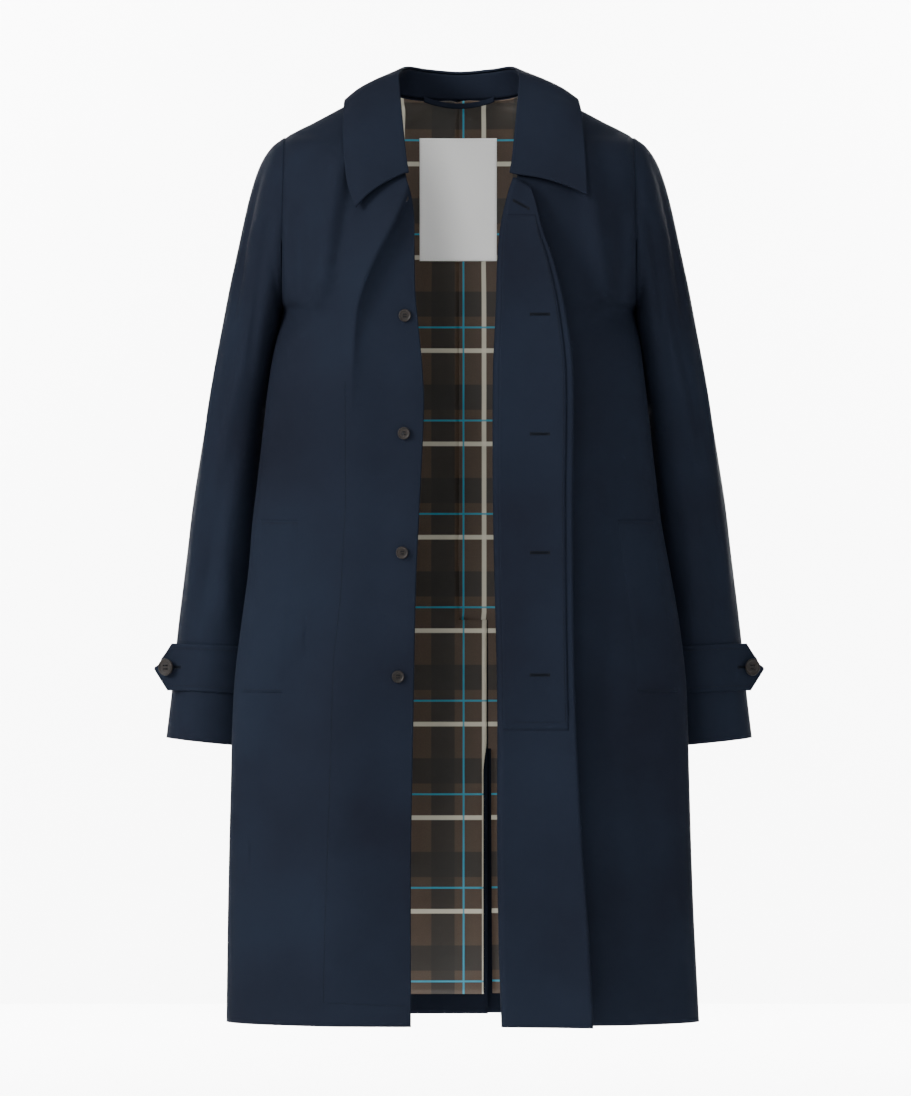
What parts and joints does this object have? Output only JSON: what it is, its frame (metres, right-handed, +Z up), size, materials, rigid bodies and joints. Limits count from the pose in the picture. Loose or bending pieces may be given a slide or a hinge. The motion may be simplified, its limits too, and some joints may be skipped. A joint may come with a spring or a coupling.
{
  "type": "car coat",
  "caption": "Knee-length navy single-breasted coat with turn-down collar, hidden button front, side welt pockets, cuff straps and a check lining, worn open.",
  "frame": {"origin": "centre of the neck opening at the height of the shoulder seams, where the wearer's shoulders carry the coat", "axes": "+Z up along the body towards the collar, -Y out of the open front, +X towards the wearer's left sleeve"},
  "size_m": [0.6798, 0.2396, 1.0502],
  "materials": {
    "navy_gabardine": "matte",
    "navy_facing": "matte",
    "check_lining": "matte",
    "white_satin": "satin",
    "dark_horn": "satin"
  },
  "bodies": {
    "root": {"front_right": "navy_gabardine", "front_left": "navy_gabardine", "back_right": "navy_gabardine", "back_left": "navy_gabardine", "sleeve_right": "navy_gabardine", "sleeve_left": "navy_gabardine", "collar_leaf": "navy_gabardine", "collar_stand": "navy_gabardine", "cuff_strap_right": "navy_gabardine", "cuff_strap_left": "navy_gabardine", "pocket_welt_right": "navy_gabardine", "pocket_welt_left": "navy_gabardine", "front_left_facing": "navy_facing", "fly_underlay": "navy_facing", "hanger_loop": "navy_facing", "lining_right": "check_lining", "lining_left": "check_lining", "neck_label": "white_satin", "cuff_button_right": "dark_horn", "cuff_button_left": "dark_horn", "front_button_1": "dark_horn", "front_button_2": "dark_horn", "front_button_3": "dark_horn", "front_button_4": "dark_horn", "front_button_5": "dark_horn"}
  },
  "joints": []
}
